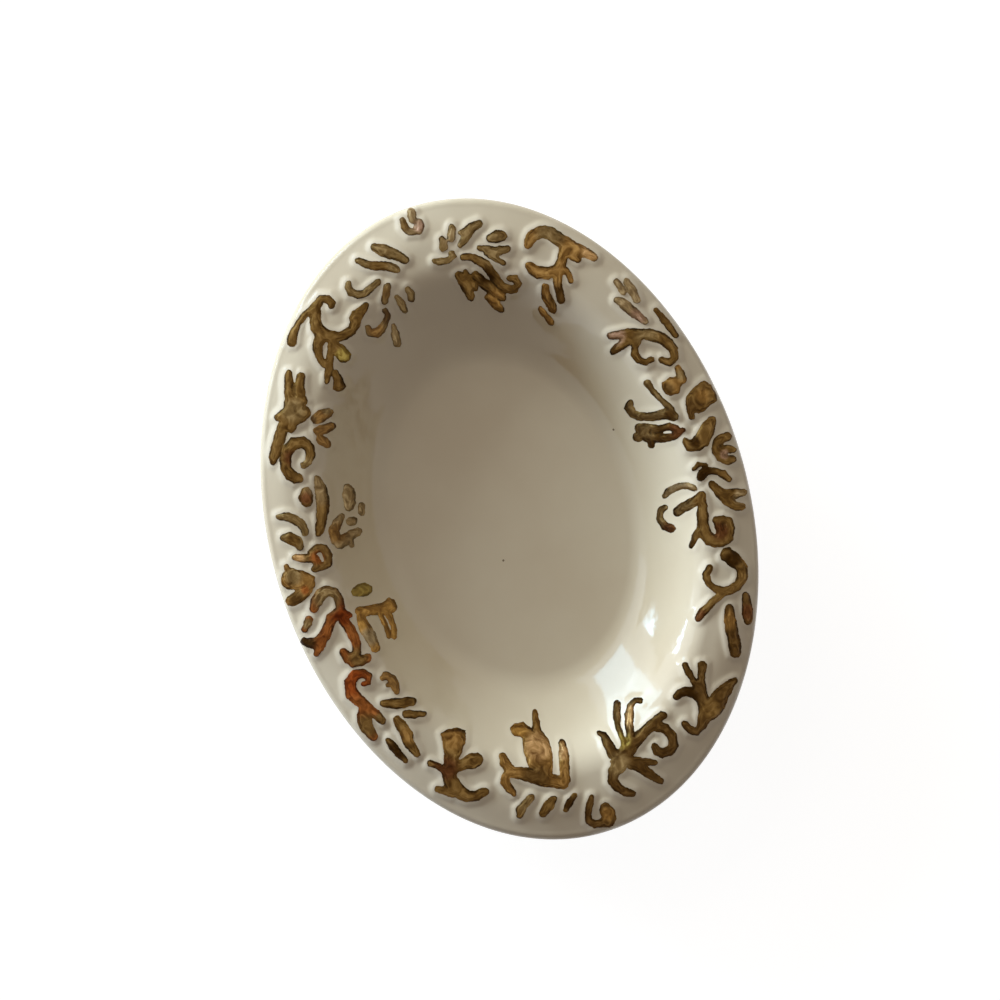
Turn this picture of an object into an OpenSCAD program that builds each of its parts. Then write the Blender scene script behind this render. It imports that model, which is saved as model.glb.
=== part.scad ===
// Oval ring dish: a shallow glazed clay dish on a bare foot ring, with raised
// scroll-and-leaf sprigs laid on its rim and gilded by hand.
// Millimetres. X runs along the dish, Y across it, Z up from the table.

/* [Dish] */
// Length over the rim
dish_l = 110; // [100:1:140]
// Width over the rim
dish_w = 80.7; // [70:0.1:110]
// Height of the rim's crest above the table
dish_h = 17; // [14:0.5:24]

/* [Well] */
// Length of the flat floor of the well
floor_l = 53; // [46:1:60]
// Length of the well's mouth, from crest to crest of the rim
mouth_l = 90; // [84:1:96]
// Run of the hollow curve where the floor turns up into the wall
toe_run = 5; // [3:0.5:7]
// Run of the rounded brow where the wall turns over into the rim
brow_run = 4.5; // [3:0.5:6]
// Thickness of the clay under the floor and under the crest
clay_t = 4; // [3:0.5:6]
// How far the outside of the wall stands out beyond its inside
wall_out = 1; // [0.5:0.1:2]

/* [Rim] */
// How far the rim has fallen from its crest where the lip begins
rim_fall = 1.1; // [0.4:0.1:2]
// Thickness of the clay at the lip
lip_t = 2.7; // [2:0.1:3.5]
// How far the rounded lip reaches in from the outer edge
lip_run = 1.4; // [1:0.1:2]

/* [Foot] */
// Height of the foot ring under the dish
foot_h = 2; // [1:0.25:4]
// Length over the foot ring
foot_l = 52; // [44:1:56]
// Width of the foot ring's band, measured along the dish
foot_band = 4.2; // [3:0.2:6]
// Rounding at the foot ring's edges
foot_round = 0.5; // [0.2:0.1:0.8]

/* [Relief] */
// Height of a broad stroke of the relief over the rim
relief_h = 0.75; // [0.4:0.05:1.2]
// Width of a stroke at which it reaches that full height
full_w = 1.6; // [1:0.1:2.5]
// Bed of slip between a stroke and the rim
slip_t = 0.06; // [0.04:0.01:0.15]
// Share by which the strokes are drawn broader or finer
stroke_share = 1; // [0.8:0.05:1.2]

/* [Hidden] */

ivory = "#e6dcc8";
bisque = "#d9c9b0";
bronze = "#6f4f22";
pale_gold = "#9a834f";
honey = "#a98045";
amber = "#9a4a1a";

// The oval that the strokes' points were drawn on, along and across
drawn_on = [110, 80.7];
// Steps in each curve of the dish's outline, and the length of a step along a stroke
curve_n = 5;
lip_n = 8;
step_l = 1.1;
// A stroke's cross-section: where its shoulders stand, and their share of its height
shoulder_at = 0.62;
shoulder_rise = 0.78;
// A stroke's rounded end: its reach as a share of the width, and the width it closes to
end_reach = 0.25;
end_width = 0.5;
// How far each length of a stroke tucks into the next
tuck = 0.06;

edge_r = dish_l / 2;
lip_r = edge_r - lip_run;
mouth_r = mouth_l / 2;
floor_r = floor_l / 2;
oval = dish_w / dish_l;
floor_z = foot_h + clay_t;
lip_z = dish_h - rim_fall;
round_fn = 96;

// Height along a wall that turns up from z0 at r0, runs straight and turns level at z1, r1
function s_curve(r, r0, r1, z0, z1) =
    let (slope = (z1 - z0) / (r1 - r0 - (toe_run + brow_run) / 2))
    r <= r0 ? z0
    : r < r0 + toe_run ? z0 + slope * (r - r0) ^ 2 / (2 * toe_run)
    : r < r1 - brow_run ? z0 + slope * (r - r0 - toe_run / 2)
    : r < r1 ? z1 - slope * (r1 - r) ^ 2 / (2 * brow_run)
    : z1;

// Height of the dish's upper surface at radius r, as measured on the long axis
function rim_z(r) = dish_h - rim_fall * ((r - mouth_r) / (lip_r - mouth_r)) ^ 2;
function lip_curve_z(r) =
    lip_z - lip_t / 2 + lip_t / 2 * sqrt(max(0, 1 - ((r - lip_r) / lip_run) ^ 2));
function top_z(r) =
    r <= mouth_r ? s_curve(r, floor_r, mouth_r, floor_z, dish_h)
    : r <= lip_r ? rim_z(r)
    : lip_curve_z(min(r, edge_r));

// Evenly spaced values from a to b, both ends included
function steps(a, b, n) = [for (i = [0:n]) a + (b - a) * i / n];

upper_line = concat(
    [[0, floor_z]],
    [for (r = steps(floor_r, floor_r + toe_run, curve_n)) [r, top_z(r)]],
    [for (r = steps(mouth_r - brow_run, mouth_r, curve_n)) [r, top_z(r)]],
    [for (i = [1:curve_n]) let (r = mouth_r + (lip_r - mouth_r) * i / curve_n) [r, rim_z(r)]]
);
lip_line = [
    for (i = [1:lip_n]) let (turn = 90 - 180 * i / lip_n)
        [lip_r + lip_run * cos(turn), lip_z - lip_t / 2 + lip_t / 2 * sin(turn)]
];
under_line = concat(
    [for (r = steps(mouth_r, mouth_r - brow_run, curve_n)) [r + wall_out, top_z(r) - clay_t]],
    [for (r = steps(floor_r + toe_run, floor_r, curve_n)) [r + wall_out, top_z(r) - clay_t]],
    [[0, foot_h]]
);

// An outline turned round the dish's centre in quarters and drawn in to the oval
module oval_turning() {
    for (quarter = [0:90:270])
        scale([1, oval, 1])
            rotate([0, 0, quarter])
                rotate_extrude(angle = 90, $fn = round_fn)
                    children();
}

// Glazed clay dish, well and rim in one casting
module dish_body() {
    color(ivory)
        oval_turning()
            polygon(concat(upper_line, lip_line, under_line));
}

// Bare clay ring under the floor, which keeps the glaze off the table
module foot_ring() {
    outer = foot_l / 2;
    inner = outer - foot_band;
    color(bisque)
        oval_turning()
            polygon([
                [inner, foot_h], [inner, foot_round], [inner + foot_round, 0],
                [outer - foot_round, 0], [outer, foot_round], [outer, foot_h]
            ]);
}

// A point on the smooth curve through points i and i + 1, with t from 0 to 1
function spline(p, i, t) =
    let (
        b = p[i],
        c = p[i + 1],
        a = i > 0 ? p[i - 1] : 2 * b - c,
        d = i + 2 < len(p) ? p[i + 2] : 2 * c - b
    )
    (2 * b + (c - a) * t + (2 * a - 5 * b + 4 * c - d) * t ^ 2 + (3 * b - a - 3 * c + d) * t ^ 3) / 2;

function flat(p) = [p.x, p.y];
function on_dish(p) = [p.x * dish_l / drawn_on.x, p.y * dish_w / drawn_on.y];
function path(p) = concat(
    [
        for (i = [0:len(p) - 2])
            let (n = max(1, round(norm(flat(p[i + 1]) - flat(p[i])) / step_l)))
                for (k = [0:n - 1]) spline(p, i, k / n)
    ],
    [p[len(p) - 1]]
);
function unit(v) = v / norm(v);
function heading(p, i) = unit(flat(p[min(i + 1, len(p) - 1)]) - flat(p[max(i - 1, 0)]));
function ground(q) = top_z(norm([q.x, q.y / oval]));

// One cross-section of a stroke, drawn at point q with its width w and height h. Its back is
// flat, so it sits on enough slip to clear the rim's curve under it.
function ring(q, along, w, h) =
    let (
        across = [-along.y, along.x] * w / 2,
        under = [for (side = [-1, 0, 1]) ground(on_dish(q + across * side))],
        seat = slip_t + max(0, under[1] - (under[0] + under[2]) / 2),
        profile = [
            [-1, 0], [-shoulder_at, shoulder_rise], [0, 1], [shoulder_at, shoulder_rise], [1, 0]
        ]
    )
    [
        for (s = profile)
            let (at = on_dish(q + across * s[0]))
                [at.x, at.y, ground(at) + seat + h * s[1]]
    ];
function middle(section) = [for (p = section) 1] * section / len(section);
function stroke_h(w) = relief_h * min(1, sqrt(w / full_w));
function end_ring(q, along, w, way) =
    ring(q + along * way * end_reach * min(w, full_w), along, w * end_width, stroke_h(w) * end_width);

// A domed stroke of clay through hand-placed points, each [x, y, width]
module stroke(points) {
    line = path([for (p = points) [p.x, p.y, p.z * stroke_share]]);
    last = len(line) - 1;
    body = [for (i = [0:last]) ring(flat(line[i]), heading(line, i), line[i].z, stroke_h(line[i].z))];
    rings = concat(
        [end_ring(flat(line[0]), heading(line, 0), line[0].z, -1)],
        body,
        [end_ring(flat(line[last]), heading(line, last), line[last].z, 1)]
    );
    ends = len(rings) - 1;
    for (i = [0:ends - 1]) {
        here = middle(rings[i]);
        there = middle(rings[i + 1]);
        nose = i + 1 < ends ? [there + tuck * unit(there - here)] : [];
        corners = concat(rings[i], rings[i + 1], nose);
        hull()
            polyhedron(points = corners, faces = [[for (k = [0:len(corners) - 1]) k]]);
    }
}

module strokes(list) {
    for (points = list)
        stroke(points);
}

// Three short strokes at the head of the dish
module edge_bud() {
    color(pale_gold)
        strokes([
            [[-54.3, -0.4, 0.9], [-53.4, -0.5, 1.2], [-52.5, -0.6, 1]],
            [[-52.1, 0.5, 0.8], [-51.2, 0.1, 1.5], [-50.4, -0.3, 1]],
            [[-50.7, -0.7, 0.9], [-50.9, -1.7, 1.1], [-52, -2.3, 1], [-53.3, -2.2, 0.7]]
        ]);
}

module twig_sprig() {
    color(bronze)
        strokes([
            [[-48.7, 9.9, 1.1], [-48.4, 8.4, 1.5], [-47.5, 7.2, 1.4], [-46.5, 6.3, 1], [-46.1, 5.6, 0.6]],
            [[-48.1, 7.8, 0.9], [-48.1, 6.4, 0.6]],
            [[-49.8, 5.3, 0.5], [-48.9, 5.1, 1.1], [-47.6, 4.6, 1]],
            [[-48.2, 3.1, 0.7], [-47.5, 3.3, 1.1], [-46.5, 2.9, 1.2]],
            [[-45.4, 3.9, 0.9], [-44.8, 4.1, 0.9], [-44.4, 3.2, 0.8], [-44.5, 1.9, 0.9], [-44.9, 0.8, 0.6]]
        ]);
}

module leaf_spray() {
    color(bronze)
        strokes([
            [[-45.6, 13.1, 1.6], [-45.7, 12, 1.9], [-45.7, 10.6, 0.9]],
            [[-43.2, 13.2, 1], [-43.5, 11.1, 1.2], [-44.8, 8.7, 0.8]],
            [[-41.1, 11.7, 0.6], [-42.5, 10.6, 0.9], [-43.7, 9.5, 0.8]],
            [
                [-38.5, 12, 0.9], [-38.1, 12.9, 1], [-37.2, 13.1, 1.1], [-36.5, 12.3, 1.2],
                [-37, 10.9, 1.2], [-38.4, 10, 1.3], [-40.4, 9.3, 1.3], [-41.8, 8.8, 1.3],
                [-42.8, 8, 1.2], [-43.9, 6.6, 1], [-44.2, 5.5, 0.7]
            ],
            [[-35.8, 10, 1], [-37.3, 8.9, 1.5], [-38.6, 7.9, 1.6], [-40.9, 6.6, 1]],
            [[-34, 9.2, 0.9], [-35.4, 8.4, 1.3], [-36.7, 7.6, 1]],
            [[-38.5, 6.1, 0.6], [-41.8, 5.2, 0.6]],
            [[-37.4, 4.9, 1], [-39.5, 4.7, 1.5], [-41.7, 3.9, 0.9]]
        ]);
}

module crown_scroll() {
    color(honey)
        strokes([
            [
                [-37.5, 26.7, 1], [-38.9, 25.2, 1.6], [-40.3, 23.6, 2], [-42, 22, 2.1],
                [-43.6, 20.8, 2], [-44.3, 19.2, 1.9], [-44.1, 17.8, 1.8], [-43.3, 16.9, 1.4],
                [-42.6, 16.4, 0.8]
            ],
            [[-39.5, 22.5, 0.9], [-38.6, 23.3, 1.2], [-37.9, 23.9, 0.9]],
            [
                [-40.5, 22.1, 1.4], [-39, 21.4, 1.4], [-37.4, 20.3, 1.4], [-35.5, 19.5, 1.2],
                [-32.2, 19.1, 0.9]
            ],
            [[-38, 21, 0.6], [-36.2, 21.6, 0.8], [-34.9, 21.7, 0.6]],
            [[-37.5, 20, 1.5], [-37.3, 18.3, 1.8], [-37.9, 16.9, 1.9], [-38.8, 16, 1.5], [-39.7, 15.6, 0.9]],
            [[-35.4, 17.3, 0.9], [-33.6, 17, 1.4], [-32.3, 17.3, 1.4], [-31.2, 17.5, 1]],
            [[-32.2, 15.4, 0.7], [-29.4, 16.6, 0.8]]
        ]);
}

module trio_leaves() {
    color(pale_gold)
        strokes([
            [[-24.7, 31.6, 0.8], [-26.5, 30.3, 1.4], [-28.7, 28.9, 1.4], [-29.7, 28, 0.8]],
            [[-28.4, 31.3, 0.8], [-30.5, 31, 1.3], [-32.3, 30.5, 0.8]],
            [[-30.4, 29.5, 0.7], [-32.7, 28.9, 0.9]]
        ]);
}

module tailed_scroll() {
    color(bronze)
        strokes([
            [[-20.9, 35.8, 0.6], [-23.5, 34.9, 1], [-26.2, 33.8, 0.6]],
            [
                [-17.9, 32.1, 0.9], [-17, 33.3, 1.1], [-17.6, 34.4, 1.3], [-19.1, 34.6, 1.4],
                [-20.7, 33.8, 1.6], [-21.9, 32.5, 1.8], [-22.9, 30.3, 1.7], [-23.8, 27.5, 1.4],
                [-24.3, 25, 0.8]
            ],
            [
                [-18.4, 30.7, 0.8], [-18.2, 29.6, 1], [-18.9, 28.6, 1], [-20.1, 28.2, 1],
                [-21.5, 28.7, 1], [-22.4, 29.7, 0.9]
            ],
            [[-23, 28.6, 1.2], [-22.2, 26.5, 1.4], [-21.6, 24.8, 0.8]]
        ]);
}

module round_bud() {
    color(honey)
        strokes([
            [[-15.9, 34.4, 0.8], [-14.7, 34.6, 1.2], [-13.4, 34.6, 0.9]],
            [[-13.6, 33.9, 1.4], [-13.2, 32.8, 2.9], [-12.9, 31.6, 2.3]]
        ]);
}

module hooked_stem() {
    color(bronze)
        strokes([
            [[-9.3, 31.4, 0.7], [-11, 30.4, 0.7], [-13, 29.4, 0.7], [-15, 28.7, 0.9]],
            [
                [-8.1, 31.5, 1.4], [-9, 30, 1.5], [-9.3, 28, 1.2], [-9.9, 26.3, 1.1],
                [-10.6, 25.2, 1.3], [-12, 24.8, 1.4], [-12.6, 25.3, 0.9]
            ]
        ]);
}

module arched_leaf() {
    color(bronze)
        strokes([
            [[-5.9, 31.3, 0.8], [-6.8, 30.2, 1], [-6.9, 28.5, 1.1], [-7.5, 26.8, 1.7], [-8.2, 25.3, 1.3]],
            [[-5.7, 32.2, 0.5], [-5.1, 30.8, 1], [-5.2, 29, 1], [-5.6, 27.6, 1.2], [-6.4, 26.2, 1.6]],
            [[-6.2, 27, 1], [-4.7, 26.5, 1]],
            [[-6.9, 26.2, 1.6], [-6.7, 24.5, 1.3]]
        ]);
}

// Broad tongue of gold that runs in from the lip
module block_leaf() {
    color(honey)
        strokes([
            [[-10.5, 38.5, 4], [-10.1, 37, 3.9], [-9.3, 35.6, 3.6], [-8.8, 34.8, 2.8]],
            [[-10.4, 34.8, 0.9], [-9, 34.3, 0.9], [-7.2, 34.2, 0.8]]
        ]);
}

module comma_leaf() {
    color(bronze)
        strokes([
            [
                [-5.8, 37.4, 1.1], [-4.4, 36, 2.3], [-3, 34.6, 2.4], [-2.6, 33.3, 2.1],
                [-2.9, 32.3, 1.6], [-3.8, 31.9, 0.9]
            ]
        ]);
}

module fork_leaf() {
    color(bronze)
        strokes([
            [[-2.4, 39.2, 1.2], [-2.3, 38, 1.3], [-1.8, 36.9, 1.2], [-0.9, 36.2, 0.8]],
            [[0.2, 39.5, 0.6], [-0.3, 38.4, 1.2], [-0.5, 36.8, 1.2]],
            [[1.6, 38.8, 1.1], [1.5, 37.8, 1.3], [0.6, 36.7, 1.3], [-0.7, 36.2, 0.8]]
        ]);
}

module forked_twig() {
    color(bronze)
        strokes([
            [
                [4.6, 37.1, 0.9], [3.4, 36.3, 1.1], [2.5, 35.2, 0.9], [2.2, 34.1, 1],
                [2.3, 33.3, 1.4], [2.9, 32.5, 1.2]
            ],
            [[1.1, 34.1, 0.4], [0.7, 32.9, 0.5], [1.2, 31.9, 0.5]],
            [[7.4, 38.9, 0.9], [7.2, 37.5, 1.4], [6.8, 36, 1.3], [6.4, 35.1, 1]],
            [[9.7, 37.9, 1], [9.2, 36.8, 1.2], [7.8, 35.7, 1.6], [6, 34.8, 1.4], [4.3, 34, 0.8]]
        ]);
}

module ribbon_scroll() {
    color(bronze)
        strokes([
            [
                [5.5, 31.9, 1], [8, 31.3, 1.4], [11.2, 30.5, 1.8], [13.2, 31, 1.9], [14.1, 32.7, 1.9],
                [13.8, 34.1, 1.6], [12.4, 34.7, 1.5], [11.2, 34.8, 1.3], [10.6, 34, 1], [10.4, 32.7, 0.8]
            ],
            [[11.1, 33, 1], [12.3, 33.1, 1.2], [13.7, 32.9, 1]],
            [[5.8, 31.6, 0.9], [6.5, 30, 1.3], [6.9, 28.3, 1.4], [7.4, 27.1, 1.2]],
            [[11, 30.1, 1], [12.3, 28.7, 0.8], [13.5, 27.7, 0.6]]
        ]);
}

module cup_curl() {
    color(bronze)
        strokes([
            [[6, 25.8, 0.6], [6.2, 24.9, 0.9], [7.4, 24.3, 1], [9, 24.7, 1.2], [9.8, 25.7, 1.3]],
            [[4.3, 31.1, 0.7], [3.5, 30, 0.9], [3.3, 28, 0.9], [3.6, 26.8, 0.8], [4.2, 26.1, 0.5]]
        ]);
}

module ring_scroll() {
    color(bronze)
        strokes([
            [
                [16.2, 32.7, 2.2], [17.6, 33.8, 2.1], [19.4, 34.7, 1.8], [21, 34.3, 1.6],
                [22, 33.1, 1.3], [22.3, 31.7, 1.2], [22, 30.3, 1.1], [21.2, 29.3, 0.9],
                [20, 28.6, 0.9], [18.6, 28.6, 1], [17.6, 29.7, 0.8]
            ],
            [[22.3, 30.8, 0.9], [23, 29.1, 1], [23.9, 27.3, 1], [24.6, 26, 1.1], [25.3, 25.1, 0.8]]
        ]);
}

module paired_dashes() {
    color(bronze)
        strokes([
            [[23.8, 34, 0.8], [25.2, 33.8, 1.3], [26.8, 33.4, 1.7], [28.3, 33.1, 1.2]],
            [[24.9, 30.8, 1], [26.5, 30.3, 1.6], [29, 30, 1.9], [31.5, 29.7, 1.9], [32.8, 29.5, 1.6]]
        ]);
}

module forked_scroll() {
    color(bronze)
        strokes([
            [
                [37, 28.1, 0.6], [37.6, 26.9, 1.6], [38.5, 25.3, 2.4], [39.7, 24, 3],
                [40.5, 22.6, 3.2], [41.4, 21.3, 2.2], [42.7, 20.3, 1.2], [43.3, 19.3, 1.1],
                [42.7, 18.4, 1.1], [41.3, 17.7, 0.9]
            ],
            [
                [40.5, 21.9, 2.2], [38.5, 21.8, 1.9], [37, 21, 1.7], [36.3, 19.7, 1.4],
                [36.3, 18.5, 1.2], [36.8, 17.7, 0.9]
            ],
            [[38.3, 22.3, 0.9], [35.5, 22.6, 1], [32.8, 23.5, 1.3]],
            [[37.2, 21.8, 0.8], [35.2, 21.4, 0.7], [33.3, 20.9, 0.9], [31.9, 20.8, 0.7]]
        ]);
}

module spiral_scroll() {
    color(bronze)
        strokes([
            [
                [38.9, 14.8, 1.2], [39.3, 13.7, 1.3], [40.2, 12, 1.4], [41.2, 10, 1.6],
                [42.2, 8.3, 2], [43.5, 6.5, 2.7], [44.7, 5, 2.7]
            ],
            [
                [40.4, 13.2, 1.4], [41.2, 14.4, 1.4], [42.6, 15.1, 1.4], [44.2, 15, 1.5],
                [45, 14.1, 1.6], [45, 12.8, 1.5], [44.4, 12, 1.3], [43.4, 11.9, 0.9]
            ],
            [[44.8, 7.2, 1.4], [45.2, 8.8, 1.1], [45.6, 10, 0.9], [46.2, 11.2, 0.7]],
            [[45.1, 7.3, 1.6], [46.5, 8.8, 1.4], [48.1, 10, 1.2], [49.5, 11.2, 0.8]],
            [
                [45, 5, 2.2], [45.8, 3.9, 1.8], [47, 3.5, 1.5], [48.3, 4, 1.4],
                [49.4, 5, 1.2], [50.1, 6.2, 0.7]
            ],
            [
                [41.8, 8.2, 0.9], [39.5, 8.8, 1.2], [37.3, 9.4, 1.2], [35.9, 10.2, 0.9],
                [35.4, 11.2, 0.7], [35.7, 11.9, 0.7]
            ],
            [[35, 8.1, 0.9], [36.3, 7.6, 1], [38.3, 7.1, 0.7], [40.3, 7.1, 0.5], [42, 7, 0.6]],
            [[42.8, 4.9, 1.7], [41.2, 4.6, 1.5], [39.3, 4.3, 0.9], [38.7, 3.6, 0.5]]
        ]);
}

module hooked_bud() {
    color(honey)
        strokes([
            [[50.7, 0.8, 1.6], [51.7, 1.1, 2.3], [52.9, 1, 2.3], [53.7, 0.6, 1.6]],
            [
                [48.4, -0.7, 0.5], [49.6, -1.4, 0.9], [51, -2.1, 0.9], [52.2, -2.3, 1],
                [53.1, -1.6, 1.2], [53.2, -0.3, 1.3]
            ]
        ]);
}

module three_dashes() {
    color(bronze)
        strokes([
            [[47.3, -3.3, 0.6], [48.2, -4.4, 0.9], [49.3, -5.5, 0.6]],
            [[46.8, -6.7, 0.8], [47.7, -8, 1.5], [48.9, -9.4, 1.1]],
            [[45.4, -10.2, 0.9], [46.3, -11.7, 1.2], [47.1, -12.7, 1.3], [48, -13.2, 0.8]]
        ]);
}

module broad_leaf() {
    color(honey)
        strokes([
            [
                [45.1, -4.3, 1.6], [44, -6, 2], [42.8, -8, 2.4], [41.6, -10, 2],
                [40.7, -11.9, 1.5], [40.4, -12.9, 1.3]
            ],
            [[44.8, -4.1, 1.2], [42.5, -3.6, 1.5], [40.3, -3, 1.4], [38.4, -2.7, 0.9]],
            [[42.5, -7, 2.4], [40, -7.1, 4.2], [37.4, -7, 4.4], [35.8, -7.2, 3.1]],
            [[36.2, -6.3, 1.2], [34, -5.9, 0.9], [32.4, -5.6, 0.5]],
            [[35.5, -7.8, 2.1], [34.4, -8.8, 2.3], [34.2, -9.8, 1.7]],
            [[40.3, -12.2, 1.4], [38.8, -12.9, 1.4], [37.4, -13, 0.9]],
            [[40.6, -13.1, 1.1], [41.7, -13.8, 1.3], [43, -13.5, 1.2], [44.2, -12.9, 0.6]]
        ]);
}

module curl_leaf() {
    color(honey)
        strokes([
            [
                [31.3, -19.6, 4], [33, -20, 3.5], [35, -21, 2.3], [37, -22, 2],
                [39.5, -22.5, 2.2], [41, -21.8, 2.2]
            ],
            [[36.8, -16.8, 1.9], [36.8, -18, 2.3], [36.9, -19.5, 1.6], [37.2, -21.2, 1.4]],
            [
                [39, -22.2, 2], [41, -21.6, 2.2], [42.2, -20.4, 1.8], [42.6, -19, 1.4],
                [42.3, -17.8, 1.2], [42.3, -17.2, 0.9]
            ],
            [[40.9, -22.7, 1.5], [40.2, -24, 1.1], [39.5, -25.1, 0.8]],
            [[37.3, -22.9, 0.7], [35.8, -23.8, 0.9], [35, -24.9, 0.8]]
        ]);
}

module leaf_dashes() {
    color(bronze)
        strokes([
            [
                [26.2, -28, 0.9], [27.7, -27.5, 1.7], [29.3, -27.1, 1.9], [30.6, -27.2, 1.5],
                [32, -26.8, 1.3], [33.1, -26.4, 0.8]
            ],
            [[29.2, -30.4, 0.6], [30.4, -30, 1], [32, -29.3, 1], [33.6, -28.6, 0.5]],
            [[24.3, -24.5, 1.1], [24.1, -26, 1.4], [23.6, -28, 1.4], [23.1, -29.5, 0.9]],
            [[26.9, -23.3, 0.6], [26.5, -24.8, 1.1], [25.9, -26.4, 1]]
        ]);
}

module amber_hook() {
    color(amber)
        strokes([
            [
                [19, -31.5, 0.7], [19.1, -30.8, 0.9], [18.2, -30.3, 1], [17.3, -31, 1.3],
                [17.2, -32.4, 1.5], [18.1, -33.6, 1.8], [19.7, -33.9, 1.9], [21.5, -33.1, 1.8],
                [23.5, -31.8, 1.5], [25, -30.8, 1.3], [26.1, -30.3, 0.9]
            ],
            [[19.6, -33.9, 1], [20.4, -34.7, 0.5]],
            [[23.2, -32.8, 1.5], [25, -33.3, 2.2], [26.8, -33, 1.8], [28.2, -32.5, 1.1]]
        ]);
}

module short_leaf() {
    color(pale_gold)
        strokes([
            [[18.5, -27.6, 0.6], [19.6, -26.8, 1.2], [21, -26.5, 1.2], [22.1, -26.7, 0.6]],
            [[19, -27.3, 0.7], [19.1, -28.3, 0.6]],
            [[20.4, -26.9, 0.6], [20.5, -27.7, 0.4]]
        ]);
}

module amber_scroll() {
    color(amber)
        strokes([
            [
                [7.4, -30.3, 0.8], [6.9, -31.1, 1.2], [6.5, -32.2, 1.7], [7.1, -33.4, 1.7],
                [8.5, -34.5, 1.6], [9.7, -35.7, 1.7], [10.2, -37, 1.8], [9.9, -38.2, 1.5],
                [9.3, -39, 1.2]
            ],
            [[10.6, -35.9, 0.9], [11.3, -37, 1.1], [12, -37.7, 0.5]],
            [
                [7.2, -31.9, 1.2], [9, -31.2, 1.4], [11.5, -30.6, 1.3], [13.6, -31, 1.2],
                [14.9, -31.8, 1.3], [15.5, -32.3, 0.9]
            ],
            [[15.1, -29.5, 1.4], [15.2, -30.5, 1.5], [15.1, -31.6, 1.3]],
            [[14.9, -32.2, 1.2], [14, -32.7, 1.7], [12.8, -33.2, 0.9]],
            [
                [6.1, -31.6, 1.3], [4.5, -31.2, 1.3], [3, -31.6, 1.4], [2.4, -32.7, 1.6],
                [2.7, -34, 1.9], [3.7, -35.1, 1.7], [4.7, -35.8, 1.2]
            ],
            [[5.9, -36.9, 1], [6.7, -37.5, 1.1], [7.6, -38.4, 0.6]]
        ]);
}

module pale_fan() {
    color(pale_gold)
        strokes([
            [[7.9, -23.2, 2.4], [8.2, -24.5, 2], [7.9, -26.5, 1.6], [7.4, -28.3, 1.4], [7.2, -29, 0.9]],
            [[9, -24.4, 0.8], [11.5, -24.1, 0.8], [13.3, -24.5, 0.6]],
            [[8.8, -25.6, 0.6], [10.8, -25.3, 0.5], [13, -25.3, 0.4]],
            [[7.7, -28.6, 1], [9.5, -28.7, 1.6], [11.6, -28.2, 1.8], [14.2, -27.8, 1.2]]
        ]);
}

module oval_bead() {
    color(pale_gold)
        strokes([
            [[4.4, -26.1, 1.3], [4.2, -26.7, 2], [4.1, -27.3, 2.2], [4, -28, 1.8], [4, -28.5, 1.2]]
        ]);
}

module edge_leaves() {
    color(honey)
        strokes([
            [[-0.2, -34.4, 0.9], [-0.8, -36, 2.4], [-1.2, -37.6, 3.5], [-1.2, -39, 2.4]],
            [[-2.4, -37.8, 0.9], [-3.6, -38.1, 0.6]],
            [[0.4, -34.7, 0.9], [1.5, -36.3, 1.6], [2.1, -38, 1.9], [2.3, -39.3, 1.5]]
        ]);
}

module square_spiral() {
    color(amber)
        strokes([
            [
                [-1.8, -33.7, 0.8], [-1.7, -32.4, 1], [-1.9, -31.2, 1.2], [-3.2, -30.8, 1.3],
                [-4.6, -31.1, 1.2], [-4.9, -32.3, 1.2], [-4.4, -33.3, 1.3], [-3.2, -33.1, 1.4],
                [-2.1, -32.9, 1.1]
            ],
            [[-3.5, -33.7, 1.1], [-4, -35, 1], [-4.6, -36.3, 0.7]]
        ]);
}

module dash_leaves() {
    color(bronze)
        strokes([
            [
                [-7.9, -33.2, 0.9], [-9.2, -33.4, 1.2], [-10.7, -34.4, 1.3], [-11.6, -35.9, 1.2],
                [-11.9, -36.9, 0.6]
            ],
            [[-5.8, -34.8, 1], [-7, -35, 1.7], [-8, -36.2, 1.7], [-8.3, -37.1, 0.9]]
        ]);
}

module long_leaf() {
    color(bronze)
        strokes([
            [
                [-16.1, -28.8, 0.8], [-14.5, -28.6, 1.7], [-12, -29, 1.9], [-9.5, -29.9, 1.6],
                [-7.7, -30.9, 1.2], [-7, -31.3, 0.6]
            ],
            [[-14.7, -31, 1.4], [-13.6, -31.4, 2.2], [-12.6, -31.5, 1.7]]
        ]);
}

module berry_cluster() {
    color(pale_gold)
        strokes([
            [[-13.3, -24.5, 1.3], [-11.9, -24.6, 2.1], [-10.8, -24.9, 1.8], [-9.7, -25.4, 1.2]],
            [[-9.6, -23.3, 1.2], [-8.4, -23.6, 1.1]],
            [[-7.5, -25.1, 1.1], [-7.6, -26, 1.2]],
            [[-5.5, -24.9, 1.2], [-5.4, -26.2, 1.4], [-4.8, -27.6, 1.7], [-4.4, -28.7, 1.7]],
            [[-4.9, -26.7, 0.7], [-3.5, -26.7, 0.6]],
            [[-8.8, -26.8, 0.8], [-8, -27.8, 1.3], [-6.9, -28.7, 1.6], [-5, -28.8, 1.6]]
        ]);
}

module c_scroll() {
    color(bronze)
        strokes([
            [
                [-18.7, -30.3, 0.9], [-19, -29.4, 1], [-20.1, -28.6, 1.3], [-21.4, -28.4, 1.5],
                [-22.5, -29.1, 1.8], [-22.8, -30.6, 1.9], [-22.1, -31.9, 1.8], [-20.7, -32.8, 1.7],
                [-19.2, -33.1, 1.6], [-17.9, -32.8, 1.8], [-17.1, -32.1, 1.7], [-17, -31.4, 1.3]
            ]
        ]);
}

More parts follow.
